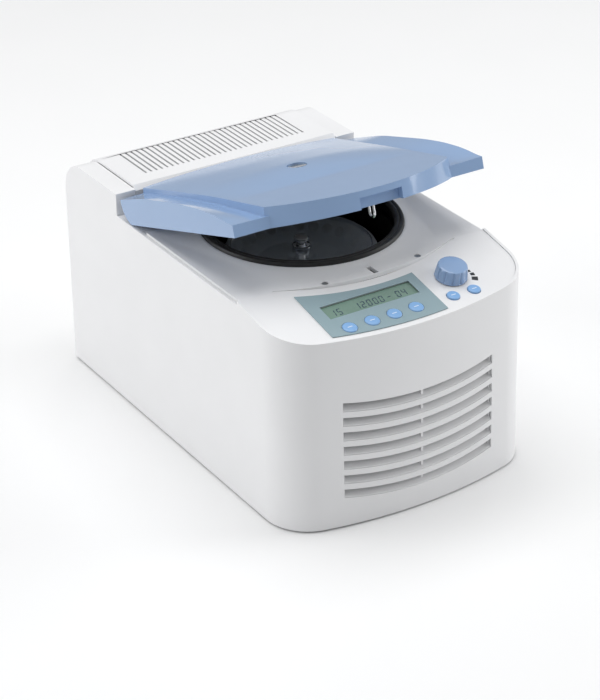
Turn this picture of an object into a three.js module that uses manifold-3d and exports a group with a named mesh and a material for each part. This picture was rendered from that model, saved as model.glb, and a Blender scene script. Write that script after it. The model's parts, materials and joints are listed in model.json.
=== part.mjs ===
// Refrigerated bench microcentrifuge, built as an assembly of separate pieces.
// Millimetres, +Z up, the front faces -Y. The origin is under the middle of the body, on the bench.
import * as THREE from "three";
import { mergeVertices } from "three/addons/utils/BufferGeometryUtils.js";
import Module from "manifold-3d";

const wasm = await Module();
wasm.setup();

// ---- Driving dimensions ----
const GAP = 0.3; // running gap between neighbouring pieces
const WALL = 3; // moulded wall thickness

// Body: plan outline with a bowed front, and the side profile.
const HALF_WIDTH = 145;
const BACK_Y = 228;
const FRONT_Y = -228;
const FRONT_RADIUS = 467;
const CORNER_RADIUS = 48;
const FRONT_DRAFT = 0.035; // the front face leans back by this much per unit of height
const SHELL_BOTTOM = 2;
const LEDGE_Z = 215.8; // top of the side walls beside the deck
const HUMP_Y = 113.8; // front wall of the rear housing
const HUMP_Z = 239.7;
const HUMP_RADIUS = 36;
const COVER_HALF = 122; // half width of the vented rear cover
const COVER_Z = 243;

// Deck, and the sloping control panel in front of it.
const DECK_Z = 218.5;
const DECK_THICKNESS = 4;
const PANEL_Y = -121.4;
const PANEL_Z = 219.85;
const PANEL_SLOPE = 0.203;
const PANEL_RECESS = 0.8; // the panel lies this far under the lip of the shell
const STEP_CENTRE_Y = 106; // centre and radius of the curved step between deck and panel
const STEP_RADIUS = 250;

// Chamber and rotor share a vertical axis.
const ROTOR_Y = -7.4;
const GASKET_RADIUS = 103.8;
const GASKET_TOP = 224.6;
const BOWL_RADIUS = 93.5;
const BOWL_FLOOR = 128;
const WELL_COUNT = 24;
const WELL_RADIUS = 5.5;
const WELL_CIRCLE = 58;
const WELL_MOUTH_Z = 186;
const WELL_DEPTH = 36;

// Lid: it is drawn closed, then turned open about the hinge axis.
const HINGE_Y = 81.8;
const HINGE_Z = 242.3;
const LID_OPEN = THREE.MathUtils.degToRad(18.23);
const HINGE_X = 104; // the two hinges are this far each side of the middle
const LID_BOTTOM = 219;
const LID_REAR = 109.9; // where the lid's own length starts when it is closed
const LID_BARREL = 26; // radius of its rounded rear, about the hinge axis
const LID_HALF = 143.7;
const EAR_LENGTH = 230.9;
const DOME_RADIUS = 173.8;
const DOME_CENTRE = 93.4;
const DOME_HALF = 110.4;

const SLOT_HALF = 87.4; // front louvres
const SLOT_COUNT = 7;
const SLOT_PITCH = 15.58;
const SLOT_TOP_Z = 135.8;
const SLOT_HEIGHT = 9.5;
const SLOT_DIP = 7.6;

// ---- Geometry helpers ----
const point = (x, y) => new THREE.Vector2(x, y);

function signedVolume(positions, triangles) {
  const [a, b, c] = [new THREE.Vector3(), new THREE.Vector3(), new THREE.Vector3()];
  let volume = 0;
  for (let i = 0; i < triangles.length; i += 3) {
    [a, b, c].forEach((v, k) => v.fromArray(positions, 3 * triangles[i + k]));
    volume += a.dot(b.cross(c)) / 6;
  }
  return volume;
}

// A closed geometry as a manifold solid, with its faces pointing out.
function solidOf(geometry) {
  const bare = new THREE.BufferGeometry();
  bare.setAttribute("position", geometry.getAttribute("position").clone());
  if (geometry.index) bare.setIndex(geometry.index.clone());
  const merged = mergeVertices(bare, 1e-4);
  const positions = merged.attributes.position.array;
  const triangles = [];
  for (let i = 0; i < merged.index.count; i += 3) {
    const [a, b, c] = merged.index.array.subarray(i, i + 3);
    if (a !== b && b !== c && c !== a) triangles.push(a, b, c);
  }
  if (signedVolume(positions, triangles) < 0) {
    for (let i = 0; i < triangles.length; i += 3) {
      [triangles[i + 1], triangles[i + 2]] = [triangles[i + 2], triangles[i + 1]];
    }
  }
  return new wasm.Manifold(
    new wasm.Mesh({ numProp: 3, vertProperties: positions, triVerts: new Uint32Array(triangles) }),
  );
}

function geometryOf(solid) {
  const mesh = solid.getMesh();
  const geometry = new THREE.BufferGeometry();
  geometry.setAttribute("position", new THREE.BufferAttribute(mesh.vertProperties, 3));
  geometry.setIndex(new THREE.BufferAttribute(mesh.triVerts, 1));
  return geometry;
}

const combine = (method, first, rest) =>
  geometryOf(rest.reduce((whole, next) => whole[method](solidOf(next)), solidOf(first)));
const join = (first, ...rest) => combine("add", first, rest);
const cut = (first, ...rest) => combine("subtract", first, rest);
const common = (first, ...rest) => combine("intersect", first, rest);

function box(x0, x1, y0, y1, z0, z1) {
  const geometry = new THREE.BoxGeometry(x1 - x0, y1 - y0, z1 - z0);
  return geometry.translate((x0 + x1) / 2, (y0 + y1) / 2, (z0 + z1) / 2);
}

// Cylinders along each axis; the two coordinates across the axis come after its ends.
function rodZ(radius, z0, z1, x = 0, y = 0, sides = 24, topRadius = radius) {
  const geometry = new THREE.CylinderGeometry(topRadius, radius, z1 - z0, sides);
  return geometry.rotateX(Math.PI / 2).translate(x, y, (z0 + z1) / 2);
}
const rodX = (radius, x0, x1, y, z, sides = 24) =>
  new THREE.CylinderGeometry(radius, radius, x1 - x0, sides)
    .rotateZ(Math.PI / 2)
    .translate((x0 + x1) / 2, y, z);
const rodY = (radius, y0, y1, x, z, sides = 24) =>
  new THREE.CylinderGeometry(radius, radius, y1 - y0, sides).translate(x, (y0 + y1) / 2, z);

// A profile of [radius, height] points turned about a vertical axis.
function turned(profile, x = 0, y = 0, sides = 48) {
  const points = profile.map(([r, z]) => point(r, z));
  const onAxis = (p) => p.x < 1e-6;
  if (!onAxis(points[0]) || !onAxis(points.at(-1))) points.push(points[0].clone());
  return new THREE.LatheGeometry(points, sides).rotateX(Math.PI / 2).translate(x, y, 0);
}

const extruded = (points, depth) =>
  new THREE.ExtrudeGeometry(new THREE.Shape(points), { depth, bevelEnabled: false });
const prismZ = (points, z0, z1) => extruded(points, z1 - z0).translate(0, 0, z0);
// Points are (y, z), and the prism runs along X.
const prismX = (points, x0, x1) =>
  extruded(points, x1 - x0).applyMatrix4(
    new THREE.Matrix4().set(0, 0, 1, x0, 1, 0, 0, 0, 0, 1, 0, 0, 0, 0, 0, 1),
  );
// Points are (x, z), and the prism runs along Y.
const prismY = (points, y0, y1) =>
  extruded(points, y1 - y0).applyMatrix4(
    new THREE.Matrix4().set(1, 0, 0, 0, 0, 0, -1, y1, 0, 1, 0, 0, 0, 0, 0, 1),
  );

// Points on a circular arc, both ends included.
function arc(cx, cy, radius, fromAngle, toAngle, steps) {
  return Array.from({ length: steps + 1 }, (_, i) => {
    const angle = fromAngle + ((toAngle - fromAngle) * i) / steps;
    return point(cx + radius * Math.cos(angle), cy + radius * Math.sin(angle));
  });
}

// A value read from a polyline of [position, value] pairs.
function along(table, position) {
  const next = table.findIndex(([at]) => at >= position);
  if (next <= 0) return (next < 0 ? table.at(-1) : table[0])[1];
  const [[a, va], [b, vb]] = [table[next - 1], table[next]];
  return va + ((vb - va) * (position - a)) / (b - a);
}

// A block whose top face follows height(x, y).
function terrain(x0, x1, y0, y1, bottom, height, nx, ny) {
  const geometry = new THREE.BoxGeometry(x1 - x0, y1 - y0, 2, nx, ny, 1);
  geometry.translate((x0 + x1) / 2, (y0 + y1) / 2, 0);
  const at = geometry.getAttribute("position");
  for (let i = 0; i < at.count; i += 1) {
    at.setZ(i, at.getZ(i) > 0 ? height(at.getX(i), at.getY(i)) : bottom);
  }
  return geometry;
}

// A round tube along a smooth curve through the given points.
function pipe(points, radius, steps, sides = 8) {
  const curve = new THREE.CatmullRomCurve3(points.map((p) => new THREE.Vector3(...p)));
  const section = new THREE.Shape(arc(0, 0, radius, 0, 2 * Math.PI, sides).slice(0, -1));
  return new THREE.ExtrudeGeometry(section, { extrudePath: curve, steps, bevelEnabled: false });
}

// ---- Assembly ----
const root = new THREE.Group();
const lidHinge = new THREE.Group(); // turned open about the hinge axis
const lidParts = new THREE.Group(); // inside it, pieces keep their closed positions
lidHinge.position.set(0, HINGE_Y, HINGE_Z);
lidHinge.rotation.x = -LID_OPEN;
lidParts.position.set(0, -HINGE_Y, -HINGE_Z);
lidHinge.add(lidParts);
const panelFrame = new THREE.Group(); // z is out of the panel's face, y runs up its slope
panelFrame.position.set(0, PANEL_Y, PANEL_Z - PANEL_RECESS);
panelFrame.rotation.x = Math.atan(PANEL_SLOPE);
root.add(lidHinge, panelFrame);

const FINISH = {
  white: { color: 0xebebeb, roughness: 0.4, metalness: 0 },
  deck: { color: 0xd7d7d9, roughness: 0.45, metalness: 0 },
  blue: { color: 0x96aed0, roughness: 0.25, metalness: 0 },
  blueKey: { color: 0x8ebae9, roughness: 0.4, metalness: 0 },
  overlay: { color: 0x9bb0b6, roughness: 0.35, metalness: 0 },
  liquidCrystal: { color: 0x7f9a8d, roughness: 0.2, metalness: 0 },
  black: { color: 0x1b1b1b, roughness: 0.6, metalness: 0 },
  rubber: { color: 0x202020, roughness: 0.8, metalness: 0 },
  steel: { color: 0xb4b6b8, roughness: 0.35, metalness: 1 },
  chrome: { color: 0xd0d2d4, roughness: 0.12, metalness: 1 },
  rotorMetal: { color: 0x565b60, roughness: 0.4, metalness: 1 },
  smoke: { color: 0x434c57, roughness: 0.15, metalness: 0 },
  foam: { color: 0xc9b98a, roughness: 0.9, metalness: 0 },
  copper: { color: 0xb87348, roughness: 0.35, metalness: 1 },
  board: { color: 0x2f6b3c, roughness: 0.6, metalness: 0 },
  darkSteel: { color: 0x2b2d2f, roughness: 0.5, metalness: 0.6 },
};

function piece(name, finish, geometry, parent = root) {
  const shown = geometry.index ? geometry.toNonIndexed() : geometry;
  shown.computeVertexNormals();
  const mesh = new THREE.Mesh(shown, new THREE.MeshStandardMaterial(FINISH[finish]));
  mesh.name = name;
  parent.add(mesh);
  return mesh;
}

// ---- Body outlines ----
// Plan outline of the body, inset by a wall: straight sides, tight front corners, bowed front.
function planOutline(inset) {
  const bowY = FRONT_Y + FRONT_RADIUS;
  const cornerX = HALF_WIDTH - CORNER_RADIUS;
  const cornerY = bowY - Math.sqrt((FRONT_RADIUS - CORNER_RADIUS) ** 2 - cornerX ** 2);
  const tangent = Math.atan2(bowY - cornerY, cornerX);
  const [corner, bow] = [CORNER_RADIUS - inset, FRONT_RADIUS - inset];
  return [
    point(HALF_WIDTH - inset, BACK_Y - inset),
    point(-HALF_WIDTH + inset, BACK_Y - inset),
    ...arc(-cornerX, cornerY, corner, Math.PI, Math.PI + tangent, 7),
    ...arc(0, bowY, bow, Math.PI + tangent, 2 * Math.PI - tangent, 14).slice(1, -1),
    ...arc(cornerX, cornerY, corner, -tangent, 0, 7),
  ];
}

// A prism on a plan outline whose front face leans back as it rises.
function drafted(outline, z0, z1) {
  const geometry = prismZ(outline, z0, z1);
  const at = geometry.getAttribute("position");
  for (let i = 0; i < at.count; i += 1) {
    if (at.getY(i) < PANEL_Y) at.setY(i, at.getY(i) + FRONT_DRAFT * at.getZ(i));
  }
  return geometry;
}

const panelHeight = (y) => PANEL_Z - PANEL_SLOPE * (PANEL_Y - y);
const louvreZ = (x, row) =>
  SLOT_TOP_Z - row * SLOT_PITCH - SLOT_DIP * (1 - (x / SLOT_HALF) ** 2);

// A band in the front face that follows the curve of one louvre row.
const LOUVRE_STEPS = 6;
function louvreBand(row, x0, x1, drop, height, y0, y1) {
  const steps = LOUVRE_STEPS;
  const upper = Array.from({ length: steps + 1 }, (_, i) => {
    const x = x0 + ((x1 - x0) * i) / steps;
    return point(x, louvreZ(x, row) - drop);
  });
  const lower = upper.map((p) => point(p.x, p.y - height)).reverse();
  return prismY([...upper, ...lower], y0, y1);
}
const louvreRows = Array.from({ length: SLOT_COUNT }, (_, row) => row);

// ---- Outer shell: sides, front wall with louvre slots, and the strips beside the vent cover ----
function outerShell() {
  const profile = [
    point(FRONT_Y - 12, 0),
    point(BACK_Y, 0),
    ...arc(BACK_Y - HUMP_RADIUS, HUMP_Z - HUMP_RADIUS, HUMP_RADIUS, 0, Math.PI / 2, 6),
    point(HUMP_Y, HUMP_Z),
    point(HUMP_Y, LEDGE_Z),
    point(PANEL_Y, LEDGE_Z),
    point(PANEL_Y, PANEL_Z),
    point(FRONT_Y - 12, panelHeight(FRONT_Y - 12)),
  ];
  const innerRadius = HUMP_RADIUS - WALL;
  const cavityProfile = [
    point(FRONT_Y, -10),
    point(BACK_Y - WALL, -10),
    ...arc(BACK_Y - HUMP_RADIUS, HUMP_Z - HUMP_RADIUS, innerRadius, 0, Math.PI / 2, 6),
    point(HUMP_Y + WALL, HUMP_Z - WALL),
    point(HUMP_Y + WALL, 212),
    point(HUMP_Y, 212),
    point(HUMP_Y, 260),
    point(FRONT_Y, 260),
  ];
  const block = common(
    drafted(planOutline(0), SHELL_BOTTOM, 250),
    prismX(profile, -HALF_WIDTH - 1, HALF_WIDTH + 1),
  );
  const cavity = common(
    drafted(planOutline(WALL), -5, 265),
    prismX(cavityProfile, -HALF_WIDTH, HALF_WIDTH),
  );
  const slots = louvreRows.map((row) =>
    louvreBand(row, -SLOT_HALF, SLOT_HALF, 0, SLOT_HEIGHT, -240, -200),
  );
  return cut(
    block,
    cavity,
    box(-COVER_HALF - GAP, COVER_HALF + GAP, HUMP_Y - 5, BACK_Y + 5, 203.4, 260),
    box(-133, 133, BACK_Y - 10, BACK_Y + 5, 10, 192),
    ...slots,
  );
}
piece("outer_shell", "white", outerShell());

// Louvre insert: scoops that fill most of each slot, rising as they go in and leaving a gap above,
// carried by two side bars and a middle rib behind the wall.
const frontFaceY = (x, z) =>
  FRONT_Y + FRONT_RADIUS - Math.sqrt(FRONT_RADIUS ** 2 - x ** 2) + FRONT_DRAFT * z;

// Section of a scoop: [depth behind the front face, height over the slot's lower edge].
const SCOOP_SECTION = [[0.8, 0.3], [3, 0.3], [10.5, 5.6], [10.5, 7.4], [0.8, 0.9]];
const SCOOP_HALF = SLOT_HALF - GAP;
const RIB_DEPTH = 7;
function scoop(row) {
  const corners = SCOOP_SECTION.length;
  const vertices = [];
  for (let i = 0; i <= LOUVRE_STEPS; i += 1) {
    const share = (2 * i) / LOUVRE_STEPS - 1;
    const x = share * SCOOP_HALF;
    const lower = louvreZ(share * SLOT_HALF, row) - SLOT_HEIGHT;
    SCOOP_SECTION.forEach(([depth, height]) =>
      vertices.push(x, frontFaceY(x, lower + height) + depth, lower + height),
    );
  }
  const last = LOUVRE_STEPS * corners;
  const triangles = [];
  for (let k = 1; k < corners - 1; k += 1) {
    triangles.push(0, k + 1, k, last, last + k, last + k + 1);
  }
  for (let i = 0; i < LOUVRE_STEPS; i += 1) {
    for (let k = 0; k < corners; k += 1) {
      const [a, b] = [i * corners + k, i * corners + ((k + 1) % corners)];
      triangles.push(a, b, b + corners, a, b + corners, a + corners);
    }
  }
  const geometry = new THREE.BufferGeometry();
  geometry.setAttribute("position", new THREE.Float32BufferAttribute(vertices, 3));
  geometry.setIndex(triangles);
  return geometry;
}

function frontLouvres() {
  const barX = SCOOP_HALF - 0.9;
  const bars = [[-barX, 0.9], [0, 1.1], [barX, 0.9]].map(([x, half]) =>
    box(x - half, x + half, -240, -195, 30, 137),
  );
  const zone = cut(
    drafted(planOutline(WALL + GAP), 20, 150),
    drafted(planOutline(WALL + GAP + RIB_DEPTH), 10, 160),
    box(-150, 150, -140, 240, 0, 200),
  );
  return join(common(join(...bars), zone), ...louvreRows.map(scoop));
}
piece("front_louvres", "white", frontLouvres());

// Vented rear cover: raised top, rounded back, and the wall behind the lid.
function rearVentCover() {
  const radius = COVER_Z - (HUMP_Z - HUMP_RADIUS);
  const [cy, cz] = [BACK_Y - radius, HUMP_Z - HUMP_RADIUS];
  const profile = [
    point(HUMP_Y, 206),
    point(HUMP_Y + WALL, 206),
    point(HUMP_Y + WALL, COVER_Z - 6.5),
    point(HUMP_Y + 6.3, COVER_Z - WALL),
    ...arc(cy, cz, radius - WALL, Math.PI / 2, 0, 6),
    ...arc(cy, cz, radius, 0, Math.PI / 2, 6),
    point(HUMP_Y + 4.9, COVER_Z),
    point(HUMP_Y, COVER_Z - 5),
  ];
  const slots = Array.from({ length: 31 }, (_, i) => {
    const x = (i - 15) * 6.39;
    return box(x - 1.1, x + 1.1, 137.7, 196.3, 230, 250);
  });
  return cut(prismX(profile, -COVER_HALF, COVER_HALF), ...slots);
}
piece("rear_vent_cover", "white", rearVentCover());

// Steel back panel with an exhaust grille, and openings for the mains inlet and switch.
const INLET = { x: 70, z: 44 };
const SWITCH = { x: 112, z: 44 };
function backPanel() {
  const panel = box(-133 + GAP, 133 - GAP, BACK_Y - 2.4, BACK_Y - 0.4, 10 + GAP, 192 - GAP);
  const grille = Array.from({ length: 12 }, (_, i) =>
    box(-115, -35, BACK_Y - 5, BACK_Y + 5, 60 + i * 9, 64 + i * 9),
  );
  return cut(
    panel,
    ...grille,
    box(INLET.x - 15, INLET.x + 15, BACK_Y - 5, BACK_Y + 5, INLET.z - 21, INLET.z + 21),
    box(SWITCH.x - 8.5, SWITCH.x + 8.5, BACK_Y - 5, BACK_Y + 5, SWITCH.z - 12.5, SWITCH.z + 12.5),
  );
}
piece("back_panel", "white", backPanel());
piece("base_pan", "steel", drafted(planOutline(WALL + 0.4), 6, 8));

[["left", -1], ["right", 1]].forEach(([side, sx]) => {
  [["front", -150], ["rear", 195]].forEach(([end, y]) => {
    const pad = turned([[0, 0], [9, 0], [10, 1.2], [10, 5.7], [0, 5.7]], sx * 115, y, 24);
    piece(`${end}_${side}_foot`, "rubber", pad);
  });
});

// ---- Deck with its raised collar, latch slot, screw holes and hinge troughs ----
const SCREW = { x: 54, y: -133.5 };
const STRIKER_Y = -133.5;
function deckPlate() {
  const kink = Math.acos((PANEL_Y + GAP - STEP_CENTRE_Y) / -(STEP_RADIUS - GAP));
  const radius = STEP_RADIUS - GAP;
  const edge = arc(0, STEP_CENTRE_Y, radius, -Math.PI / 2 - kink, -Math.PI / 2 + kink, 16);
  const [x, back, front] = [HALF_WIDTH - WALL - GAP, HUMP_Y - GAP, PANEL_Y + GAP];
  const outline = [point(x, back), point(-x, back), point(-x, front), ...edge, point(x, front)];
  const troughs = [-1, 1].map((side) => {
    const [a, b] = [side * 97, side * 150].sort((p, q) => p - q);
    return box(a, b, 58, 120, LEDGE_Z - 0.1, 240);
  });
  const plate = cut(prismZ(outline, DECK_Z - DECK_THICKNESS, DECK_Z), ...troughs);
  const collarFoot = GASKET_RADIUS - 1;
  const collar = turned(
    [
      [collarFoot, DECK_Z - DECK_THICKNESS],
      [collarFoot, 220],
      [GASKET_RADIUS + 3.6, 220],
      [GASKET_RADIUS + 7, DECK_Z],
      [GASKET_RADIUS + 7, DECK_Z - DECK_THICKNESS],
    ],
    0,
    ROTOR_Y,
    44,
  );
  return cut(
    join(plate, collar),
    rodZ(GASKET_RADIUS + GAP, 200, 240, 0, ROTOR_Y, 44),
    box(-2.8, 2.8, STRIKER_Y - 8.3, STRIKER_Y + 6.3, 200, 240),
    rodZ(2.1, 200, 240, -SCREW.x, SCREW.y, 12),
    rodZ(2.1, 200, 240, SCREW.x, SCREW.y, 12),
    rodZ(3.6, DECK_Z - 1.8, 240, -SCREW.x, SCREW.y, 16),
    rodZ(3.6, DECK_Z - 1.8, 240, SCREW.x, SCREW.y, 16),
  );
}
piece("deck_plate", "deck", deckPlate());

[["left", -1], ["right", 1]].forEach(([side, sx]) => {
  const screw = join(
    rodZ(3.2, DECK_Z - 1.5, DECK_Z - 0.6, sx * SCREW.x, SCREW.y, 16),
    rodZ(1.7, DECK_Z - 12, DECK_Z - 1.2, sx * SCREW.x, SCREW.y, 12),
  );
  piece(`deck_screw_${side}`, "darkSteel", screw);
});

// ---- Chamber ----
const gasketProfile = [
  [97.5, 208], [GASKET_RADIUS, 208], [GASKET_RADIUS, 222.4], [101.2, GASKET_TOP],
  [96, 224.2], [93.3, 221.4], [94.2, 214],
];
piece("chamber_gasket", "rubber", turned(gasketProfile, 0, ROTOR_Y, 44));
const bowlProfile = [
  [13, BOWL_FLOOR - 1.2], [83, BOWL_FLOOR - 1.2], [94.7, BOWL_FLOOR + 10],
  [94.7, 206.2], [103.5, 206.2], [103.5, 207.6], [BOWL_RADIUS, 207.6],
  [BOWL_RADIUS, BOWL_FLOOR + 10.5], [82.6, BOWL_FLOOR], [13, BOWL_FLOOR],
];
piece("chamber_bowl", "black", turned(bowlProfile, 0, ROTOR_Y, 30));

const [COIL_TURNS, COIL_STEPS] = [3, 16];
const coilPoints = Array.from({ length: COIL_TURNS * COIL_STEPS + 1 }, (_, i) => {
  const angle = (i / COIL_STEPS) * 2 * Math.PI;
  return [101 * Math.cos(angle), ROTOR_Y + 101 * Math.sin(angle), 145 + (16 * i) / COIL_STEPS];
});
piece("evaporator_coil", "copper", pipe(coilPoints, 3, COIL_TURNS * COIL_STEPS, 5));
const jacketProfile = [
  [30, 112], [118, 112], [118, 205.5], [105.5, 205.5], [105.5, 122], [30, 122],
];
piece("insulation_jacket", "foam", turned(jacketProfile, 0, ROTOR_Y, 28));

// ---- Rotor: 24 slanting wells, on the motor's shaft ----
function rotorBody() {
  const profile = [
    [6, 146], [20, 146], [26, 151], [78, 151], [88, 161], [88, 170], [76.5, 193], [74.5, 194],
    [66, 194], [46, 174], [16, 174], [14, 183], [6, 183],
  ];
  const wells = Array.from({ length: WELL_COUNT }, (_, i) => {
    const overrun = 12;
    const well = rodZ(WELL_RADIUS, -WELL_DEPTH, overrun, 0, 0, 8);
    well.rotateY(-Math.PI / 4).translate(WELL_CIRCLE, 0, WELL_MOUTH_Z);
    return well.rotateZ((i * 2 * Math.PI) / WELL_COUNT).translate(0, ROTOR_Y, 0);
  });
  return cut(turned(profile, 0, ROTOR_Y, WELL_COUNT), ...wells);
}
piece("rotor", "rotorMetal", rotorBody());
const shaftProfile = [[0, 110], [7, 110], [7, 144], [5.7, 146.5], [5.7, 168], [4.5, 170], [0, 170]];
piece("motor_shaft", "steel", turned(shaftProfile, 0, ROTOR_Y, 16));
const coverProfile = [
  [4.6, 188.5], [40, 188.5], [66, 194.6], [72, 194.6], [72, 196.8], [65.6, 196.8], [39.6, 190.7],
  [4.6, 190.7],
];
piece("rotor_lid", "smoke", turned(coverProfile, 0, ROTOR_Y, 28));
const knobProfile = [
  [0, 174], [4.2, 174], [4.2, 191.1], [8.2, 191.1], [9.4, 192], [9.4, 194], [8.2, 195],
  [4.2, 195.3], [4.2, 198.8], [7, 199.2], [7.8, 200.2], [7.8, 202], [6.8, 203], [0, 203.5],
];
piece("rotor_knob", "chrome", turned(knobProfile, 0, ROTOR_Y, 14));

// ---- Drive motor on three rubber mounts ----
const motor = join(
  turned([[0, 12], [38, 12], [42, 16], [42, 100], [38, 104], [16, 104], [16, 109.7], [0, 109.7]], 0, ROTOR_Y, 18),
  rodZ(62, 27, 31, 0, ROTOR_Y, 18),
);
piece("drive_motor", "darkSteel", motor);
[90, 210, 330].forEach((degrees, i) => {
  const angle = THREE.MathUtils.degToRad(degrees);
  const [x, y] = [52 * Math.cos(angle), ROTOR_Y + 52 * Math.sin(angle)];
  const bush = turned([[0, 8.3], [8, 8.3], [6.5, 17.5], [8, 26.7], [0, 26.7]], x, y, 12);
  piece(`motor_mount_${i + 1}`, "rubber", bush);
});

// ---- Refrigeration: compressor, condenser, fan and pipes ----
const COMPRESSOR = { x: -74, y: 168 };
const can = turned(
  [[0, 16], [36, 17], [48, 34], [48, 120], [43, 138], [24, 148], [0, 149.5]],
  COMPRESSOR.x,
  COMPRESSOR.y,
  20,
);
const footPlate = box(COMPRESSOR.x - 50, COMPRESSOR.x + 50, COMPRESSOR.y - 42, COMPRESSOR.y + 52, 20, 23);
const terminals = box(COMPRESSOR.x + 40, COMPRESSOR.x + 62, COMPRESSOR.y - 18, COMPRESSOR.y + 18, 70, 112);
piece("compressor", "darkSteel", join(can, footPlate, terminals));
[[-40, -33], [40, -33], [0, 46]].forEach(([dx, dy], i) => {
  const [x, y] = [COMPRESSOR.x + dx, COMPRESSOR.y + dy];
  const bush = turned([[0, 8.3], [7, 8.3], [5.5, 14], [7, 19.7], [0, 19.7]], x, y, 10);
  piece(`compressor_mount_${i + 1}`, "rubber", bush);
});

const tubeEnds = Array.from({ length: 4 }, (_, i) => box(-97, 97, -185, -179, 38 + i * 30, 52 + i * 30));
piece("condenser", "steel", join(box(-93, 93, -192, -172, 26, 148), ...tubeEnds));
const shroud = cut(
  box(-97, 97, -168.6, -166, 26, 148),
  rodY(44, -175, -160, 0, 87, 24),
);
piece("fan_shroud", "black", shroud);

const FAN_Z = 87;
function fanFrame() {
  const frame = cut(
    box(-46, 46, -165.7, -141, FAN_Z - 46, FAN_Z + 46),
    rodY(44, -180, -130, 0, FAN_Z, 24),
  );
  const struts = [0, 120, 240].map((degrees) =>
    box(-2, 2, -145, -141, 0, 46)
      .rotateY(THREE.MathUtils.degToRad(degrees))
      .translate(0, 0, FAN_Z),
  );
  return join(frame, rodY(16, -147, -141, 0, FAN_Z, 16), ...struts);
}
piece("fan_frame", "black", fanFrame());
function fanImpeller() {
  const blades = Array.from({ length: 7 }, (_, i) =>
    box(-8, 8, -1, 1, 12, 41.5)
      .rotateZ(THREE.MathUtils.degToRad(35))
      .rotateY((i * 2 * Math.PI) / 7)
      .translate(0, -156, FAN_Z),
  );
  return join(rodY(17, -163, -148, 0, FAN_Z, 16), ...blades);
}
piece("fan_impeller", "black", fanImpeller());

const dischargeRoute = [
  [-74, 168, 152], [-76, 166, 172], [-100, 150, 182], [-130, 120, 170], [-133, 60, 120],
  [-133, -40, 70], [-133, -120, 60], [-128, -165, 62], [-112, -181, 66], [-99.5, -182, 68],
];
piece("discharge_line", "copper", pipe(dischargeRoute, 3, 36, 5));
const suctionRoute = [
  [-50, 190, 146], [-48, 192, 170], [-40, 180, 190], [0, 150, 196], [60, 128, 180], [90, 100, 160],
  [97, 75, 150],
];
piece("suction_line", "copper", pipe(suctionRoute, 4, 22, 5));

// ---- Electronics at the rear ----
const driveBoard = join(
  box(125, 126.6, 122, 214, 70, 180),
  box(96, 125.5, 150, 200, 90, 120),
  ...[132, 150, 168, 186].map((y) => rodX(8, 100, 125.5, y, 150, 16)),
);
piece("drive_board", "board", driveBoard);

// Mains inlet: a three-pin socket over a pull-out fuse drawer.
function powerInlet() {
  const body = box(INLET.x - 14.6, INLET.x + 14.6, BACK_Y - 30, BACK_Y - 0.1, INLET.z - 20.6, INLET.z + 20.6);
  const socket = box(INLET.x - 12, INLET.x + 12, BACK_Y - 18, BACK_Y + 5, INLET.z + 1, INLET.z + 17.5);
  const drawerBay = box(INLET.x - 12.5, INLET.x + 12.5, BACK_Y - 26, BACK_Y + 5, INLET.z - 15, INLET.z - 3);
  const pins = [[-7, 7.5], [0, 12], [7, 7.5]].map(([dx, dz]) =>
    box(INLET.x + dx - 1, INLET.x + dx + 1, BACK_Y - 20, BACK_Y - 4, INLET.z + dz - 2, INLET.z + dz + 2),
  );
  return join(cut(body, socket, drawerBay), ...pins);
}
piece("power_inlet", "black", powerInlet());
const drawer = join(
  box(INLET.x - 12.1, INLET.x + 12.1, BACK_Y - 3, BACK_Y - 0.4, INLET.z - 14.6, INLET.z - 3.4),
  box(INLET.x - 10, INLET.x + 10, BACK_Y - 24, BACK_Y - 2.5, INLET.z - 13, INLET.z - 5),
);
piece("fuse_drawer", "black", drawer);

// Rocker switch: a housing in the panel and a rocker tipped to one side.
const ROCKER_TILT = THREE.MathUtils.degToRad(8);
const switchBody = cut(
  box(SWITCH.x - 8.2, SWITCH.x + 8.2, BACK_Y - 24, BACK_Y - 0.2, SWITCH.z - 12.2, SWITCH.z + 12.2),
  box(SWITCH.x - 6.4, SWITCH.x + 6.4, BACK_Y - 14, BACK_Y + 5, SWITCH.z - 10.9, SWITCH.z + 10.9),
);
piece("power_switch", "black", switchBody);
const rockerProfile = [
  point(-8, -6), point(-1, -9.6), point(1.6, -9.6), point(0.2, 0), point(1.6, 9.6), point(-1, 9.6), point(-8, 6),
];
const rocker = prismX(rockerProfile, -6, 6).rotateX(ROCKER_TILT);
piece("power_rocker", "black", rocker.translate(SWITCH.x, BACK_Y - 3, SWITCH.z));

// ---- Control panel ----
const DIAL = { x: 66, y: -52.3 }; // in the panel's own frame
const KEYS = [
  ["mode_key", -69.1, 7.4], ["time_key", -43.8, 7.4], ["speed_key", -18.6, 7.4],
  ["temperature_key", 6.5, 7.4], ["start_key", 50, 6.5], ["stop_key", 74.7, 6.5],
].map(([name, x, radius]) => ({ name, x, y: -79.1, radius }));
const LCD = { x0: -79, x1: 23, y0: -61.2, y1: -41.2 };

// A prism square to the panel's face, for cutting it in world space.
const inWorld = (geometry) => {
  panelFrame.updateMatrix();
  return geometry.applyMatrix4(panelFrame.matrix);
};

// Plan outline of the closed lid, grown by a margin.
function lidFootprint(margin) {
  const half = DOME_HALF + margin;
  const radius = DOME_RADIUS + margin;
  const spread = Math.asin(half / radius);
  const cy = LID_REAR - DOME_CENTRE;
  return [
    point(LID_HALF + margin, LID_REAR),
    point(-LID_HALF - margin, LID_REAR),
    point(-LID_HALF - margin, LID_REAR - EAR_LENGTH - margin / 4),
    point(-half, LID_REAR - EAR_LENGTH - margin / 4),
    ...arc(0, cy, radius, -Math.PI / 2 - spread, -Math.PI / 2 + spread, 14),
    point(half, LID_REAR - EAR_LENGTH - margin / 4),
    point(LID_HALF + margin, LID_REAR - EAR_LENGTH - margin / 4),
  ];
}

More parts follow.
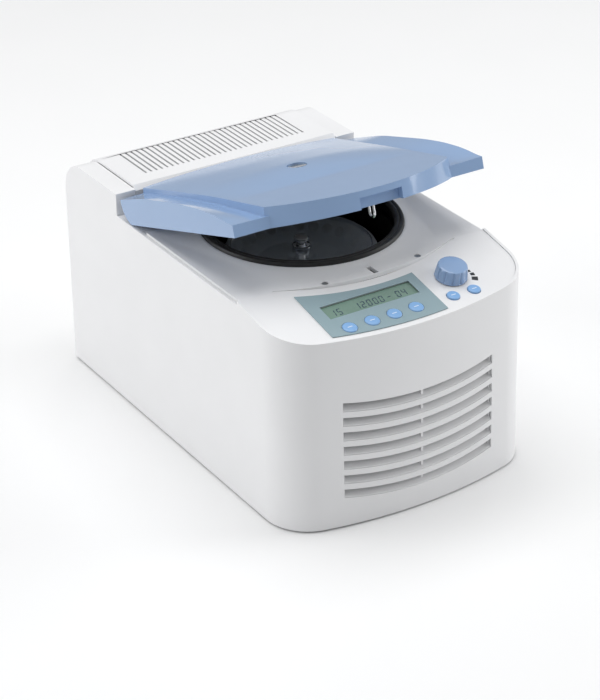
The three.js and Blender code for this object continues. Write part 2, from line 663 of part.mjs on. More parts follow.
function controlPanel() {
  const [top, bottom] = [PANEL_RECESS, PANEL_RECESS + WALL];
  const far = FRONT_Y - 12;
  const slab = [
    point(PANEL_Y - GAP, panelHeight(PANEL_Y - GAP) - bottom),
    point(PANEL_Y - GAP, panelHeight(PANEL_Y - GAP) - top),
    point(far, panelHeight(far) - top),
    point(far, panelHeight(far) - bottom),
  ];
  return cut(
    common(
      drafted(planOutline(WALL + GAP), 150, 260),
      prismX(slab, -HALF_WIDTH, HALF_WIDTH),
    ),
    rodZ(STEP_RADIUS, 100, 300, 0, STEP_CENTRE_Y, 112),
    prismZ(lidFootprint(1), DECK_Z - 0.2, 260),
    inWorld(box(LCD.x0 - 1, LCD.x1 + 1, LCD.y0 - 1, LCD.y1 + 1, -10, 10)),
    inWorld(rodZ(4, -10, 10, DIAL.x, DIAL.y, 16)),
    ...KEYS.map((key) => inWorld(rodZ(key.radius + 0.4, -10, 10, key.x, key.y, 14))),
  );
}
piece("control_panel", "white", controlPanel());

// Grey label over the display: its top and bottom edges follow the panel's curves.
function displayOverlay() {
  const [left, right] = [-92, 34];
  const edge = (x, apex, radius) => apex + radius - Math.sqrt(radius ** 2 - x ** 2);
  const row = (apex, radius) =>
    Array.from({ length: 9 }, (_, i) => left + ((right - left) * i) / 8).map((x) =>
      point(x, edge(x, apex, radius)),
    );
  const outline = [...row(-94.6, 440), ...row(-33.6, 262).reverse()];
  const holes = KEYS.slice(0, 4).map((key) => rodZ(key.radius + 0.4, -10, 10, key.x, key.y, 16));
  return cut(
    prismZ(outline, GAP, GAP + 0.7),
    box(LCD.x0, LCD.x1, LCD.y0, LCD.y1, -10, 10),
    ...holes,
  );
}
piece("display_overlay", "overlay", displayOverlay(), panelFrame);
piece("lcd_module", "liquidCrystal", box(LCD.x0 - 0.6, LCD.x1 + 0.6, LCD.y0 - 0.6, LCD.y1 + 0.6, -8.5, -1), panelFrame);
const controlBoard = join(
  box(-96, 92, -88, -32, -12, -10.4),
  box(DIAL.x - 7, DIAL.x + 7, DIAL.y - 7, DIAL.y + 7, -11, -3.6),
  rodZ(3, -4, 9, DIAL.x, DIAL.y, 12),
);
piece("control_board", "board", controlBoard, panelFrame);

KEYS.forEach(({ name, x, y, radius }) => {
  const cap = turned([[0, -6], [radius, -6], [radius, 1.2], [radius - 0.8, 1.8], [0, 1.9]], x, y, 16);
  piece(name, "blueKey", cap, panelFrame);
});
const DIAL_FLUTES = 12;
function setDial() {
  const knob = turned([[0, 0.8], [16.2, 0.8], [16.4, 2], [14.9, 13.2], [14, 14.2], [0, 14.6]], DIAL.x, DIAL.y, 24);
  const flutes = Array.from({ length: DIAL_FLUTES }, (_, i) => {
    const angle = (i * 2 * Math.PI) / DIAL_FLUTES;
    return rodZ(1, -2, 20, DIAL.x + 16.8 * Math.cos(angle), DIAL.y + 16.8 * Math.sin(angle), 5, 1.3);
  });
  return cut(knob, rodZ(3.3, -5, 10, DIAL.x, DIAL.y, 12), ...flutes);
}
piece("set_dial", "blue", setDial(), panelFrame);

// ---- Lid latch under the deck ----
const BOLT_Z = 210.4;
const latchHousing = cut(
  box(-20, 12, STRIKER_Y - 9.6, STRIKER_Y + 7.6, 190, DECK_Z - DECK_THICKNESS - GAP),
  box(-3.4, 3.4, STRIKER_Y - 8.6, STRIKER_Y + 6.6, 196, 230),
  rodX(2.1, -25, 8, STRIKER_Y, BOLT_Z, 12),
);
piece("latch_housing", "black", latchHousing);
piece("latch_bolt", "steel", rodX(1.8, -24, -4.5, STRIKER_Y, BOLT_Z, 12));

// ---- Lid ----
const lidY = (length) => LID_REAR - length; // closed position of a length along the lid
const EAR_EDGE = [[0, 25], [54, 29], [134, 27.3], [168, 24.8], [200.4, 19.9], [231.3, 11.3]];
const EAR_FOOT = [[0, 26], [60, 25], [142, 20], [190, 15.5], [231.3, 11.3]];
const DOME_RIDGE = [[0, 31.2], [172, 24], [268, 17.8]];
const DOME_CROWN = [[0, 4.5], [50, 6.5], [110, 7], [140, 4.5], [172, 0], [268, 0]];
const DOME_SIDES = [[-8, 124], [60, 118], [142, 113]]; // half width at the foot of its sides

function earHeight(x, y) {
  const length = LID_REAR - y;
  const share = THREE.MathUtils.clamp((Math.abs(x) - 113) / (LID_HALF - 113), 0, 1);
  return LID_BOTTOM + THREE.MathUtils.lerp(along(EAR_FOOT, length), along(EAR_EDGE, length), share);
}
function domeHeight(x, y) {
  const length = LID_REAR - y;
  return LID_BOTTOM + along(DOME_RIDGE, length) + along(DOME_CROWN, length) * (1 - (x / 118) ** 2);
}

// The raised middle of the lid: sides that draw in as they rise, and a bowed front.
function domeBlock(inset, rearLength, height, nx = 10, ny = 11) {
  const radius = DOME_RADIUS - inset;
  const half = DOME_HALF - inset;
  const spread = Math.asin(half / radius);
  const sides = [rearLength, 60, 142].map((length) =>
    point(along(DOME_SIDES, length) - inset, lidY(length)),
  );
  const outline = [
    ...sides.map((p) => point(-p.x, p.y)),
    ...arc(0, lidY(DOME_CENTRE), radius, -Math.PI / 2 - spread, -Math.PI / 2 + spread, 16),
    ...sides.reverse(),
  ];
  const drawIn = 0.07;
  const walls = prismZ(outline, LID_BOTTOM - 10, LID_BOTTOM + 40);
  const at = walls.getAttribute("position");
  for (let i = 0; i < at.count; i += 1) {
    if (at.getZ(i) > LID_BOTTOM) at.setX(i, at.getX(i) * (1 - drawIn));
  }
  return common(walls, terrain(-126, 126, lidY(270), lidY(rearLength), LID_BOTTOM - 9, height, nx, ny));
}

function lidShell() {
  const ears = terrain(
    -LID_HALF, LID_HALF, lidY(EAR_LENGTH), lidY(1), LID_BOTTOM - 9, earHeight, 14, 9,
  );
  const swing = Math.acos((HINGE_Z - LID_BOTTOM) / LID_BARREL);
  const sideProfile = [
    point(-170, LID_BOTTOM),
    ...arc(HINGE_Y, HINGE_Z, LID_BARREL, -Math.PI / 2 + swing, 0, 6),
    point(HINGE_Y + LID_BARREL, 270),
    point(-170, 270),
  ];
  const outside = common(join(ears, domeBlock(0, 1, domeHeight)), prismX(sideProfile, -150, 150));
  const boss = box(-29, 29, -165, lidY(254), LID_BOTTOM - 10, LID_BOTTOM + 15);
  const domeHollow = cut(
    domeBlock(WALL, -8, (x, y) => domeHeight(x, y) - WALL),
    boss,
  );
  const earHollows = [-1, 1].map((side) => {
    const [a, b] = [side * (LID_HALF - WALL), side * 124.5].sort((p, q) => p - q);
    return terrain(
      a, b, lidY(EAR_LENGTH - WALL), lidY(6), LID_BOTTOM - 9, (x, y) => earHeight(x, y) - WALL, 2, 8,
    );
  });
  return cut(
    outside,
    domeHollow,
    ...earHollows,
    box(-24, 24, -170, lidY(258), LID_BOTTOM - 5, LID_BOTTOM + 11.5),
    rodZ(10.4, 200, 300, 0, ROTOR_Y, 24),
  );
}
piece("lid_shell", "blue", lidShell(), lidParts);

// Inner panel of the lid, clear of the chamber gasket, with a hole under the viewport.
function lidLiner() {
  const [low, high] = [LID_BOTTOM + 6.6, LID_BOTTOM + 9];
  const inset = WALL + 0.6;
  const panel = common(
    domeBlock(inset, 22, () => high + 5, 1, 1),
    box(-150, 150, -200, lidY(22.2), low, high),
  );
  return cut(
    panel,
    box(-29.5, 29.5, -170, lidY(253.5), 200, 260),
    rodZ(12, 200, 260, 0, ROTOR_Y, 24),
    box(-6, 6, STRIKER_Y - 9, STRIKER_Y + 9, 200, 260),
    box(-HINGE_X - 8, -HINGE_X + 8, HINGE_Y - 16, 120, 200, 260),
    box(HINGE_X - 8, HINGE_X + 8, HINGE_Y - 16, 120, 200, 260),
  );
}
piece("lid_liner", "deck", lidLiner(), lidParts);

const viewportTop = domeHeight(0, ROTOR_Y);
const viewport = join(
  rodZ(10, viewportTop - 6, viewportTop - 0.9, 0, ROTOR_Y, 24),
  rodZ(12.4, viewportTop - 8.4, viewportTop - 5.4, 0, ROTOR_Y, 24),
);
piece("viewport_window", "smoke", viewport, lidParts);

// Striker: a wire loop that drops through the deck slot, on a plate under the lid's front.
function striker() {
  const [half, top, bottom] = [4, LID_BOTTOM + 12, LID_BOTTOM - 13.5];
  const loop = [
    [0, STRIKER_Y - half, top], [0, STRIKER_Y - half, bottom + 8], [0, STRIKER_Y - half, bottom + 3],
    [0, STRIKER_Y - half * 0.7, bottom + 0.8], [0, STRIKER_Y, bottom], [0, STRIKER_Y + half * 0.7, bottom + 0.8],
    [0, STRIKER_Y + half, bottom + 3], [0, STRIKER_Y + half, bottom + 8], [0, STRIKER_Y + half, top],
  ];
  return join(
    pipe(loop, 1.5, 24, 6),
    box(-5, 5, STRIKER_Y - 8, STRIKER_Y + 8, LID_BOTTOM + 9.6, LID_BOTTOM + 12.4),
  );
}
piece("striker", "chrome", striker(), lidParts);

// Hinges: a post from each trough, one pin each, and a pair of lugs inside each lid ear.
[["left", -1], ["right", 1]].forEach(([side, sx]) => {
  const x = sx * HINGE_X;
  const post = join(
    box(x - 2, x + 2, HINGE_Y - 3.6, HINGE_Y + 3.6, LEDGE_Z + 0.2, HINGE_Z),
    box(x - 7, x + 7, HINGE_Y - 9, HINGE_Y + 9, LEDGE_Z + 0.2, LEDGE_Z + 2.4),
    rodX(3.6, x - 2, x + 2, HINGE_Y, HINGE_Z, 16),
    rodX(1.8, x - 7.6, x + 7.6, HINGE_Y, HINGE_Z, 12),
  );
  piece(`hinge_post_${side}`, "steel", post);
  const lugs = [-1, 1].map((end) => {
    const centre = x + end * 5;
    return cut(
      box(centre - 1.6, centre + 1.6, HINGE_Y - 4, HINGE_Y + 4, HINGE_Z - 3.6, HINGE_Z + 2.9),
      rodX(2.1, centre - 3, centre + 3, HINGE_Y, HINGE_Z, 12),
    );
  });
  const bridge = box(x - 6.6, x + 6.6, HINGE_Y - 16, HINGE_Y - 5, HINGE_Z - 3.6, HINGE_Z + 1.2);
  const webs = [-1, 1].map((end) => {
    const middle = x + end * 5;
    return box(middle - 1.6, middle + 1.6, HINGE_Y - 6, HINGE_Y - 3.5, HINGE_Z - 3.6, HINGE_Z + 1.2);
  });
  piece(`hinge_lug_${side}`, "steel", join(bridge, ...webs, ...lugs), lidParts);
});

export default root;
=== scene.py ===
"""Looks for a refrigerated bench microcentrifuge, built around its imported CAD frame."""

import json
import math

import bmesh
import bpy
from mathutils import Matrix, Vector


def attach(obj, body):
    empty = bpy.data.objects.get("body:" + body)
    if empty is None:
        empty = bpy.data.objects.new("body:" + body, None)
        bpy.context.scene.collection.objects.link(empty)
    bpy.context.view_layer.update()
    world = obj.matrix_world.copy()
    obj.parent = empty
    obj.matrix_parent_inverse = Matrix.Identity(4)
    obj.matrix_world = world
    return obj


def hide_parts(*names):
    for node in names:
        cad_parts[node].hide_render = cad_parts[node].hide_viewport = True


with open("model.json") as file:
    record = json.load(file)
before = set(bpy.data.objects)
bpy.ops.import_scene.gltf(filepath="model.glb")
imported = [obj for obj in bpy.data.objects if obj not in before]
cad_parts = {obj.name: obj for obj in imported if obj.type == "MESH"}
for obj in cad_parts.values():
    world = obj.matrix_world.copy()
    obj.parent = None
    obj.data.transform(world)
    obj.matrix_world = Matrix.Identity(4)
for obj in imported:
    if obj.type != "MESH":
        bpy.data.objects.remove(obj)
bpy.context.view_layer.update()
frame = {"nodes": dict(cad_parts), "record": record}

# ---- Driving dimensions, in millimetres, the same as the CAD source's ----
GAP, WALL = 0.3, 3
HALF_WIDTH, BACK_Y, FRONT_Y = 145, 228, -228
FRONT_RADIUS, CORNER_RADIUS, FRONT_DRAFT = 467, 48, 0.035
SHELL_BOTTOM, LEDGE_Z = 2, 215.8
HUMP_Y, HUMP_Z, HUMP_RADIUS = 113.8, 239.7, 36
COVER_HALF, COVER_Z = 122, 243
DECK_Z, DECK_THICKNESS = 218.5, 4
PANEL_Y, PANEL_Z, PANEL_SLOPE, PANEL_RECESS = -121.4, 219.85, 0.203, 0.8
STEP_CENTRE_Y, STEP_RADIUS = 106, 250
ROTOR_Y, GASKET_RADIUS = -7.4, 103.8
WELL_COUNT, WELL_RADIUS, WELL_CIRCLE, WELL_MOUTH_Z, WELL_DEPTH = 24, 5.5, 58, 186, 36
HINGE_Y, HINGE_Z, LID_OPEN = 81.8, 242.3, math.radians(18.23)
LID_BOTTOM, LID_REAR, LID_BARREL, LID_HALF, EAR_LENGTH = 219, 109.9, 26, 143.7, 230.9
DOME_RADIUS, DOME_CENTRE, DOME_HALF = 173.8, 93.4, 110.4
SLOT_HALF, SLOT_COUNT, SLOT_PITCH, SLOT_TOP_Z, SLOT_HEIGHT, SLOT_DIP = 87.4, 7, 15.58, 135.8, 9.5, 7.6
SCREW_X, STRIKER_Y = 54, -133.5
BACK_OPENING = {"half": 133, "low": 10, "high": 192}
COVER_SLOT = {"count": 31, "pitch": 6.39, "half": 1.1, "front": 137.7, "rear": 196.3}
RIB_LOW, RIB_HIGH, RIB_DEPTH = 30, 137, 7
DIAL_X, DIAL_Y = 66, -52.3
LCD = (-79, 23, -61.2, -41.2)
KEY_Y = -79.1
KEYS = (
    ("mode_key", -69.1, 7.4), ("time_key", -43.8, 7.4), ("speed_key", -18.6, 7.4),
    ("temperature_key", 6.5, 7.4), ("start_key", 50, 6.5), ("stop_key", 74.7, 6.5),
)
OPENED = (
    Matrix.Translation((0, HINGE_Y, HINGE_Z))
    @ Matrix.Rotation(-LID_OPEN, 4, "X")
    @ Matrix.Translation((0, -HINGE_Y, -HINGE_Z))
)
ON_PANEL = (
    Matrix.Translation((0, PANEL_Y, PANEL_Z - PANEL_RECESS))
    @ Matrix.Rotation(math.atan(PANEL_SLOPE), 4, "X")
)
STILL = Matrix.Identity(4)


# ---- Materials ----
def linear(code):
    parts = [int(code[i:i + 2], 16) / 255 for i in (0, 2, 4)]
    return [c / 12.92 if c <= 0.04045 else ((c + 0.055) / 1.055) ** 2.4 for c in parts]


def material(name, code, rough, vary=0.02, spread=0.05, grain=1500, bump=0.05, cloud=14, **shader):
    """A finish with slow colour variation, uneven gloss and a fine surface grain."""
    surface = bpy.data.materials.new(name)
    surface.use_nodes = True
    nodes, links = surface.node_tree.nodes, surface.node_tree.links
    principled = nodes["Principled BSDF"]
    where = nodes.new("ShaderNodeTexCoord")

    def noise(scale, detail):
        node = nodes.new("ShaderNodeTexNoise")
        node.inputs["Scale"].default_value = scale
        node.inputs["Detail"].default_value = detail
        links.new(where.outputs["Object"], node.inputs["Vector"])
        return node.outputs["Fac"]

    base = linear(code)
    ramp = nodes.new("ShaderNodeValToRGB")
    ramp.color_ramp.elements[0].position, ramp.color_ramp.elements[1].position = 0.3, 0.7
    ramp.color_ramp.elements[0].color = [c * (1 - vary) for c in base] + [1]
    ramp.color_ramp.elements[1].color = [min(1, c * (1 + vary)) for c in base] + [1]
    links.new(noise(cloud, 3), ramp.inputs["Fac"])
    links.new(ramp.outputs["Color"], principled.inputs["Base Color"])
    gloss = nodes.new("ShaderNodeMapRange")
    gloss.inputs["To Min"].default_value = max(0.02, rough - spread)
    gloss.inputs["To Max"].default_value = rough + spread
    links.new(noise(cloud * 4, 4), gloss.inputs["Value"])
    links.new(gloss.outputs["Result"], principled.inputs["Roughness"])
    relief = nodes.new("ShaderNodeBump")
    relief.inputs["Strength"].default_value = bump
    relief.inputs["Distance"].default_value = 0.0002
    links.new(noise(grain, 2), relief.inputs["Height"])
    links.new(relief.outputs["Normal"], principled.inputs["Normal"])
    for key, value in shader.items():
        principled.inputs[key.replace("_", " ")].default_value = value
    return surface


FINISH = {
    "white_moulding": material(
        "white_moulding", "eeeeef", 0.36, 0.012, grain=2200, bump=0.06, Coat_Weight=0.15,
    ),
    "deck_moulding": material("deck_moulding", "f0f0f1", 0.4, 0.012, grain=2200, bump=0.06),
    "blue_lid": material(
        "blue_lid", "8fabd1", 0.16, 0.02, 0.03, bump=0.015, Coat_Weight=0.5, Coat_Roughness=0.06,
    ),
    "blue_key": material("blue_key", "86b2e2", 0.34, 0.03),
    "grey_label": material("grey_label", "93a9b0", 0.3, 0.015, bump=0.03),
    "lcd": material("lcd", "7c978a", 0.14, 0.05, 0.02, cloud=60, bump=0.01),
    "black_plastic": material("black_plastic", "171717", 0.45, 0.1),
    "black_rubber": material("black_rubber", "141414", 0.42, 0.12, 0.08, grain=900, bump=0.15),
    "dark_chamber": material("dark_chamber", "0b0b0c", 0.35, 0.1),
    "sheet_steel": material("sheet_steel", "b0b3b6", 0.34, 0.05, 0.08, Metallic=1.0),
    "back_paint": material("back_paint", "e6e6e6", 0.42, 0.015, grain=1800, bump=0.12),
    "bright_chrome": material("bright_chrome", "d6d8da", 0.08, 0.02, 0.03, bump=0.01, Metallic=1.0),
    "rotor_alloy": material("rotor_alloy", "b4b9be", 0.4, 0.06, 0.06, Metallic=0.4),
    "smoke_clear": material("smoke_clear", "ccd3da", 0.05, 0.02, 0.02, bump=0.01, Transmission_Weight=0.8),
    "foam": material("foam", "cdbb88", 0.85, 0.06, grain=500, bump=0.3),
    "copper_pipe": material("copper_pipe", "b9744a", 0.3, 0.08, 0.1, Metallic=1.0),
    "circuit_board": material("circuit_board", "2b6a3a", 0.4, 0.15, cloud=120),
    "black_paint": material("black_paint", "17181a", 0.3, 0.08),
}
INK = material("printed_ink", "23282d", 0.5, 0.05)
DIGIT = material("display_digit", "33465a", 0.3, 0.05)
LEGEND = material("key_legend", "dfeaf6", 0.4, 0.02)

for entry in frame["record"]["subparts"]:
    node = frame["nodes"][entry["node"]]
    node.data.materials.clear()
    node.data.materials.append(FINISH[entry["material_slot"]])


# ---- Solids, built in millimetres ----
def made(name, verts, faces):
    mesh = bpy.data.meshes.new(name)
    mesh.from_pydata([tuple(v) for v in verts], [], faces)
    work = bmesh.new()
    work.from_mesh(mesh)
    bmesh.ops.recalc_face_normals(work, faces=work.faces)
    if work.calc_volume(signed=True) < 0:
        bmesh.ops.reverse_faces(work, faces=work.faces)
    work.to_mesh(mesh)
    work.free()
    obj = bpy.data.objects.new(name, mesh)
    bpy.context.scene.collection.objects.link(obj)
    return obj


def prism(points, axis, low, high):
    """A flat outline drawn from low to high along an axis."""
    place = {
        "x": lambda p, t: (t, p[0], p[1]),
        "y": lambda p, t: (p[0], t, p[1]),
        "z": lambda p, t: (p[0], p[1], t),
    }[axis]
    n = len(points)
    verts = [place(p, low) for p in points] + [place(p, high) for p in points]
    sides = [[i, (i + 1) % n, n + (i + 1) % n, n + i] for i in range(n)]
    return made("prism", verts, [list(range(n)), list(range(n, 2 * n)), *sides])


def box(x0, x1, y0, y1, z0, z1):
    return prism([(x0, y0), (x1, y0), (x1, y1), (x0, y1)], "z", z0, z1)


def turned(profile, x=0, y=0, sides=128, shape=None):
    """A closed (radius, height) profile turned about a vertical axis. shape(angle, row) scales a radius."""
    rings, verts, faces = [], [], []
    for row, (radius, height) in enumerate(profile):
        count = 1 if radius < 1e-6 else sides
        rings.append(list(range(len(verts), len(verts) + count)))
        for i in range(count):
            angle = 2 * math.pi * i / sides
            r = radius * (shape(angle, row) if shape else 1)
            verts.append((x + r * math.cos(angle), y + r * math.sin(angle), height))
    pairs = list(zip(rings, rings[1:]))
    if len(rings[0]) > 1 or len(rings[-1]) > 1:
        pairs.append((rings[-1], rings[0]))
    for a, b in pairs:
        for i in range(sides):
            j = (i + 1) % sides
            corners = [a[i % len(a)], a[j % len(a)], b[j % len(b)], b[i % len(b)]]
            face = [c for k, c in enumerate(corners) if c != corners[k - 1]]
            if len(face) > 2:
                faces.append(face)
    return made("turned", verts, faces)


def rod(radius, z0, z1, x=0, y=0, sides=48):
    return turned([(0, z0), (radius, z0), (radius, z1), (0, z1)], x, y, sides)


def arc(cx, cy, radius, start, end, steps):
    turns = [start + (end - start) * i / steps for i in range(steps + 1)]
    return [(cx + radius * math.cos(t), cy + radius * math.sin(t)) for t in turns]


def terrain(x0, x1, y0, y1, bottom, height, nx, ny):
    """A block whose top follows height(x, y)."""
    xs = [x0 + (x1 - x0) * i / nx for i in range(nx + 1)]
    ys = [y0 + (y1 - y0) * j / ny for j in range(ny + 1)]
    top = [(x, y, height(x, y)) for y in ys for x in xs]
    low = [(x, y, bottom) for y in ys for x in xs]
    at = lambda i, j, level: level * len(top) + j * (nx + 1) + i
    faces = []
    for j in range(ny):
        for i in range(nx):
            for level in (0, 1):
                near = [at(i, j, level), at(i + 1, j, level)]
                far = [at(i + 1, j + 1, level), at(i, j + 1, level)]
                faces.append(near + far)
    for i in range(nx):
        for j in (0, ny):
            faces.append([at(i, j, 0), at(i + 1, j, 0), at(i + 1, j, 1), at(i, j, 1)])
    for j in range(ny):
        for i in (0, nx):
            faces.append([at(i, j, 0), at(i, j + 1, 0), at(i, j + 1, 1), at(i, j, 1)])
    solid = made("terrain", top + low, faces)
    work = bmesh.new()
    work.from_mesh(solid.data)
    bmesh.ops.triangulate(work, faces=work.faces)
    work.to_mesh(solid.data)
    work.free()
    return solid


def bake(obj):
    graph = bpy.context.evaluated_depsgraph_get()
    mesh = bpy.data.meshes.new_from_object(obj.evaluated_get(graph))
    obj.modifiers.clear()
    obj.data = mesh
    return obj


def together(solids):
    """Several separate solids as one object."""
    work = bmesh.new()
    for solid in solids:
        work.from_mesh(solid.data)
    work.to_mesh(solids[0].data)
    work.free()
    for solid in solids[1:]:
        bpy.data.objects.remove(solid)
    return solids[0]


def combined(first, others, operation):
    for other in others:
        change = first.modifiers.new("change", "BOOLEAN")
        change.operation, change.object, change.solver = operation, other, "MANIFOLD"
    bpy.context.view_layer.update()
    bake(first)
    for other in others:
        bpy.data.objects.remove(other)
    return first


def cut(first, *others):
    return combined(first, others, "DIFFERENCE")


def join(first, *others):
    return combined(first, others, "UNION")


def common(first, *others):
    return combined(first, others, "INTERSECT")


def soften(obj, edge, angle=30):
    """Smooth shading, with edges rounded to a radius in millimetres."""
    for face in obj.data.polygons:
        face.use_smooth = True
    obj.data.set_sharp_from_angle(angle=math.radians(angle))
    if edge:
        bevel = obj.modifiers.new("edge", "BEVEL")
        bevel.width, bevel.segments, bevel.limit_method = edge * 0.001, 3, "ANGLE"
        bevel.angle_limit = math.radians(angle)
        bevel.harden_normals = True
        bevel.use_clamp_overlap = True


def show(obj, name, body, slot, edge=0.4, place=STILL, finish=None, instead=True, angle=30):
    obj.name = name + "_look"
    obj.data.transform(Matrix.Scale(0.001, 4) @ place)
    obj.data.materials.clear()
    obj.data.materials.append(finish or FINISH[slot])
    soften(obj, edge, angle)
    if instead:
        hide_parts(name)
    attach(obj, body)
    return obj


# ---- Body ----
def plan_outline(inset):
    bow_y = FRONT_Y + FRONT_RADIUS
    corner_x = HALF_WIDTH - CORNER_RADIUS
    corner_y = bow_y - math.sqrt((FRONT_RADIUS - CORNER_RADIUS) ** 2 - corner_x ** 2)
    tangent = math.atan2(bow_y - corner_y, corner_x)
    corner, bow = CORNER_RADIUS - inset, FRONT_RADIUS - inset
    return [
        (HALF_WIDTH - inset, BACK_Y - inset), (-HALF_WIDTH + inset, BACK_Y - inset),
        *arc(-corner_x, corner_y, corner, math.pi, math.pi + tangent, 24),
        *arc(0, bow_y, bow, math.pi + tangent, 2 * math.pi - tangent, 44)[1:-1],
        *arc(corner_x, corner_y, corner, -tangent, 0, 24),
    ]


def drafted(outline, z0, z1):
    solid = prism(outline, "z", z0, z1)
    for vertex in solid.data.vertices:
        if vertex.co.y < PANEL_Y:
            vertex.co.y += FRONT_DRAFT * vertex.co.z
    return solid


def panel_height(y):
    return PANEL_Z - PANEL_SLOPE * (PANEL_Y - y)


def louvre_z(x, row):
    return SLOT_TOP_Z - row * SLOT_PITCH - SLOT_DIP * (1 - (x / SLOT_HALF) ** 2)


def louvre_band(row, steps=14):
    """The cutter for one curved front slot."""
    xs = [-SLOT_HALF + 2 * SLOT_HALF * i / steps for i in range(steps + 1)]
    upper = [(x, louvre_z(x, row)) for x in xs]
    lower = [(x, z - SLOT_HEIGHT) for x, z in reversed(upper)]
    return prism(upper + lower, "y", FRONT_Y - 12, FRONT_Y + 28)


def outer_shell():
    far = FRONT_Y - 12
    crown = (BACK_Y - HUMP_RADIUS, HUMP_Z - HUMP_RADIUS)
    profile = [
        (far, 0), (BACK_Y, 0), *arc(*crown, HUMP_RADIUS, 0, math.pi / 2, 24), (HUMP_Y, HUMP_Z),
        (HUMP_Y, LEDGE_Z), (PANEL_Y, LEDGE_Z), (PANEL_Y, PANEL_Z), (far, panel_height(far)),
    ]
    hollow = [
        (FRONT_Y, -10), (BACK_Y - WALL, -10), *arc(*crown, HUMP_RADIUS - WALL, 0, math.pi / 2, 24),
        (HUMP_Y + WALL, HUMP_Z - WALL), (HUMP_Y + WALL, 212), (HUMP_Y, 212), (HUMP_Y, 260), (FRONT_Y, 260),
    ]
    block = common(
        drafted(plan_outline(0), SHELL_BOTTOM, 250), prism(profile, "x", -HALF_WIDTH - 1, HALF_WIDTH + 1),
    )
    cavity = common(drafted(plan_outline(WALL), -5, 265), prism(hollow, "x", -HALF_WIDTH, HALF_WIDTH))
    slots = [louvre_band(row) for row in range(SLOT_COUNT)]
    return cut(
        block, cavity,
        box(-COVER_HALF - GAP, COVER_HALF + GAP, HUMP_Y - 5, BACK_Y + 5, 203.4, 260),
        box(
            -BACK_OPENING["half"], BACK_OPENING["half"], BACK_Y - 10, BACK_Y + 5,
            BACK_OPENING["low"], BACK_OPENING["high"],
        ),
        together(slots),
    )


show(outer_shell(), "outer_shell", "housing", "white_moulding", 0.9)


def front_face_y(x, z):
    return FRONT_Y + FRONT_RADIUS - math.sqrt(FRONT_RADIUS ** 2 - x ** 2) + FRONT_DRAFT * z


SCOOP_SECTION = ((0.8, 0.3), (3, 0.3), (10.5, 5.6), (10.5, 7.4), (0.8, 0.9))


def scoop(row, steps=36):
    """A louvre blade that follows the bowed front."""
    count, verts = len(SCOOP_SECTION), []
    for i in range(steps + 1):
        share = 2 * i / steps - 1
        x = share * (SLOT_HALF - GAP)
        lower = louvre_z(share * SLOT_HALF, row) - SLOT_HEIGHT
        verts += [(x, front_face_y(x, lower + h) + depth, lower + h) for depth, h in SCOOP_SECTION]
    faces = [list(range(count)), list(range(steps * count, (steps + 1) * count))]
    for i in range(steps):
        for k in range(count):
            a, b = i * count + k, i * count + (k + 1) % count
            faces.append([a, b, b + count, a + count])
    return made("scoop", verts, faces)


def front_louvres():
    bar_x = SLOT_HALF - GAP - 0.9
    bars = [
        box(x - half, x + half, FRONT_Y - 12, FRONT_Y + 33, RIB_LOW, RIB_HIGH)
        for x, half in ((-bar_x, 0.9), (0, 1.1), (bar_x, 0.9))
    ]
    ribs = common(
        together(bars), drafted(plan_outline(WALL + GAP), 20, 150),
        cut(box(-150, 150, -240, -140, 0, 200), drafted(plan_outline(WALL + GAP + RIB_DEPTH), 10, 160)),
    )
    return join(ribs, *[scoop(row) for row in range(SLOT_COUNT)])


show(front_louvres(), "front_louvres", "housing", "white_moulding", 0)


def rear_cover():
    radius = COVER_Z - (HUMP_Z - HUMP_RADIUS)
    cy, cz = BACK_Y - radius, HUMP_Z - HUMP_RADIUS
    profile = [
        (HUMP_Y, 206), (HUMP_Y + WALL, 206), (HUMP_Y + WALL, COVER_Z - 6.5), (HUMP_Y + 6.3, COVER_Z - WALL),
        *arc(cy, cz, radius - WALL, math.pi / 2, 0, 24), *arc(cy, cz, radius, 0, math.pi / 2, 24),
        (HUMP_Y + 4.9, COVER_Z), (HUMP_Y, COVER_Z - 5),
    ]
    centres = [(i - COVER_SLOT["count"] // 2) * COVER_SLOT["pitch"] for i in range(COVER_SLOT["count"])]
    half = COVER_SLOT["half"]
    slots = [box(x - half, x + half, COVER_SLOT["front"], COVER_SLOT["rear"], 230, 250) for x in centres]
    return cut(prism(profile, "x", -COVER_HALF, COVER_HALF), together(slots))


show(rear_cover(), "rear_vent_cover", "housing", "white_moulding", 0.5)


def deck_plate():
    radius = STEP_RADIUS - GAP
    kink = math.acos((PANEL_Y + GAP - STEP_CENTRE_Y) / -radius)
    x, back, front = HALF_WIDTH - WALL - GAP, HUMP_Y - GAP, PANEL_Y + GAP
    edge = arc(0, STEP_CENTRE_Y, radius, -math.pi / 2 - kink, -math.pi / 2 + kink, 64)
    foot, low = GASKET_RADIUS - 1, DECK_Z - DECK_THICKNESS
    collar = turned([
        (foot, low), (foot, 220), (GASKET_RADIUS + 3.2, 220), (GASKET_RADIUS + 6.6, DECK_Z),
        (GASKET_RADIUS + 6.6, low),
    ], 0, ROTOR_Y, 192)
    plate = cut(
        prism([(x, back), (-x, back), (-x, front), *edge, (x, front)], "z", low, DECK_Z),
        box(-150, -97, 58, 120, LEDGE_Z - 0.1, 240), box(97, 150, 58, 120, LEDGE_Z - 0.1, 240),
    )
    holes = [rod(2.1, 200, 240, side * SCREW_X, STRIKER_Y, 32) for side in (-1, 1)]
    sinks = [rod(3.6, DECK_Z - 1.8, 240, side * SCREW_X, STRIKER_Y, 48) for side in (-1, 1)]
    return cut(
        join(plate, collar), rod(GASKET_RADIUS + GAP, 200, 240, 0, ROTOR_Y, 192),
        box(-2.8, 2.8, STRIKER_Y - 8.3, STRIKER_Y + 6.3, 200, 240), *holes, *sinks,
    )


show(deck_plate(), "deck_plate", "housing", "deck_moulding", 0.4)

